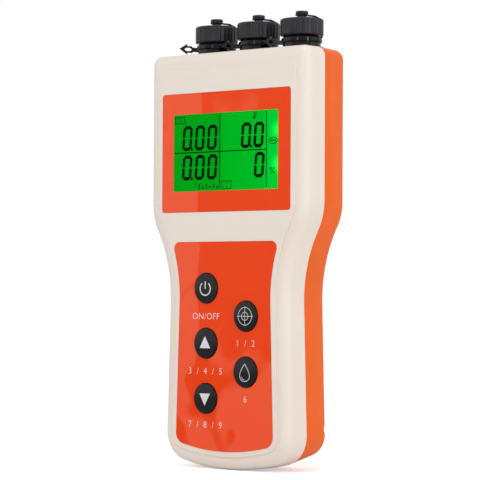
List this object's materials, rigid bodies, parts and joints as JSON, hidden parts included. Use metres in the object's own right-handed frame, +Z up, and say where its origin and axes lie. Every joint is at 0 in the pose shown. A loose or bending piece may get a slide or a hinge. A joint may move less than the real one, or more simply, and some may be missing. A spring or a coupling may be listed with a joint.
{
  "type": "handheld multiparameter water quality meter",
  "caption": "Handheld water meter with a wide backlit display head, narrow grip, round keys and capped screw-lock probe sockets on top.",
  "frame": {"origin": "under the middle of the lower edge, halfway through the thickness", "axes": "+Z up along the meter, -Y out of the face, +X to the viewer's right"},
  "size_m": [0.0866, 0.033, 0.1945],
  "materials": {
    "case_ivory": "satin moulded plastic",
    "case_orange": "satin moulded plastic",
    "film_orange": "glossy printed film",
    "window_clear": "clear pane",
    "display_green": "backlit display glass",
    "light_guide": "clear moulded plastic",
    "key_black": "polished plastic",
    "socket_black": "fine-grained plastic",
    "inner_black": "moulded plastic",
    "seal_rubber": "soft rubber",
    "strip_rubber": "layered conductive rubber",
    "board_green": "coated laminate",
    "contact_brass": "plated",
    "screw_steel": "zinc-plated",
    "contact_steel": "nickel-plated sheet",
    "cell_jacket": "plain foil jacket"
  },
  "bodies": {
    "meter": {"front_shell": "case_ivory", "rear_shell": "case_orange", "case_gasket": "seal_rubber", "display_overlay": "film_orange", "keypad_overlay": "film_orange", "case_screws": "screw_steel", "display_window": "window_clear", "display_glass": "display_green", "display_backlight": "light_guide", "display_holder": "inner_black", "contact_strips": "strip_rubber", "main_board": "board_green", "board_parts": "inner_black", "board_screws": "screw_steel", "key_switches": "inner_black", "cells": "cell_jacket", "battery_plates": "contact_steel", "battery_springs": "contact_steel", "flange_gaskets": "seal_rubber", "receptacle_nuts": "socket_black", "receptacle_left": "socket_black", "contact_insert_left": "inner_black", "contact_sleeves_left": "contact_brass", "tether_left": "seal_rubber", "receptacle_middle": "socket_black", "contact_insert_middle": "inner_black", "contact_sleeves_middle": "contact_brass", "tether_middle": "seal_rubber", "receptacle_right": "socket_black", "contact_insert_right": "inner_black", "contact_sleeves_right": "contact_brass", "tether_right": "seal_rubber"},
    "key_power": {"key_power": "key_black", "plunger_power": "inner_black"},
    "key_up": {"key_up": "key_black", "plunger_up": "inner_black"},
    "key_down": {"key_down": "key_black", "plunger_down": "inner_black"},
    "key_target": {"key_target": "key_black", "plunger_target": "inner_black"},
    "key_drop": {"key_drop": "key_black", "plunger_drop": "inner_black"},
    "battery_door": {"battery_door": "case_orange"},
    "knob_left": {"cap_knob_left": "socket_black"},
    "cap_left": {"cap_left": "socket_black", "cap_seal_left": "seal_rubber"},
    "knob_middle": {"cap_knob_middle": "socket_black"},
    "cap_middle": {"cap_middle": "socket_black", "cap_seal_middle": "seal_rubber"},
    "knob_right": {"cap_knob_right": "socket_black"},
    "cap_right": {"cap_right": "socket_black", "cap_seal_right": "seal_rubber"}
  },
  "joints": [
    {"name": "key_press_power", "type": "slide", "parent": "meter", "child": "key_power", "axis": [0, 1, 0], "range_m": [0, 0.0006], "stiffness_N_per_m": 1500, "springref_m": -0.0005},
    {"name": "key_press_up", "type": "slide", "parent": "meter", "child": "key_up", "axis": [0, 1, 0], "range_m": [0, 0.0006], "stiffness_N_per_m": 1500, "springref_m": -0.0005},
    {"name": "key_press_down", "type": "slide", "parent": "meter", "child": "key_down", "axis": [0, 1, 0], "range_m": [0, 0.0006], "stiffness_N_per_m": 1500, "springref_m": -0.0005},
    {"name": "key_press_target", "type": "slide", "parent": "meter", "child": "key_target", "axis": [0, 1, 0], "range_m": [0, 0.0006], "stiffness_N_per_m": 1500, "springref_m": -0.0005},
    {"name": "key_press_drop", "type": "slide", "parent": "meter", "child": "key_drop", "axis": [0, 1, 0], "range_m": [0, 0.0006], "stiffness_N_per_m": 1500, "springref_m": -0.0005},
    {"name": "door_slide", "type": "slide", "parent": "meter", "child": "battery_door", "axis": [0, 0, -1], "range_m": [0, 0.062]},
    {"name": "cap_lift_left", "type": "slide", "parent": "meter", "child": "knob_left", "axis": [0, 0, 1], "range_m": [0, 0.012], "deforming": ["tether_left"]},
    {"name": "cap_turn_left", "type": "hinge", "parent": "knob_left", "child": "cap_left", "pos_m": [-0.0238, 0.0064, 0.187], "axis": [0, 0, 1], "range_deg": [0, 2161]},
    {"name": "cap_lift_middle", "type": "slide", "parent": "meter", "child": "knob_middle", "axis": [0, 0, 1], "range_m": [0, 0.012], "deforming": ["tether_middle"]},
    {"name": "cap_turn_middle", "type": "hinge", "parent": "knob_middle", "child": "cap_middle", "pos_m": [0, 0.0064, 0.187], "axis": [0, 0, 1], "range_deg": [0, 2161]},
    {"name": "cap_lift_right", "type": "slide", "parent": "meter", "child": "knob_right", "axis": [0, 0, 1], "range_m": [0, 0.012], "deforming": ["tether_right"]},
    {"name": "cap_turn_right", "type": "hinge", "parent": "knob_right", "child": "cap_right", "pos_m": [0.0238, 0.0064, 0.187], "axis": [0, 0, 1], "range_deg": [0, 2161]}
  ],
  "couplings": [
    {"joint": "cap_turn_left", "follows": "cap_lift_left", "rad_per_m": 3141.6},
    {"joint": "cap_turn_middle", "follows": "cap_lift_middle", "rad_per_m": 3141.6},
    {"joint": "cap_turn_right", "follows": "cap_lift_right", "rad_per_m": 3141.6}
  ]
}
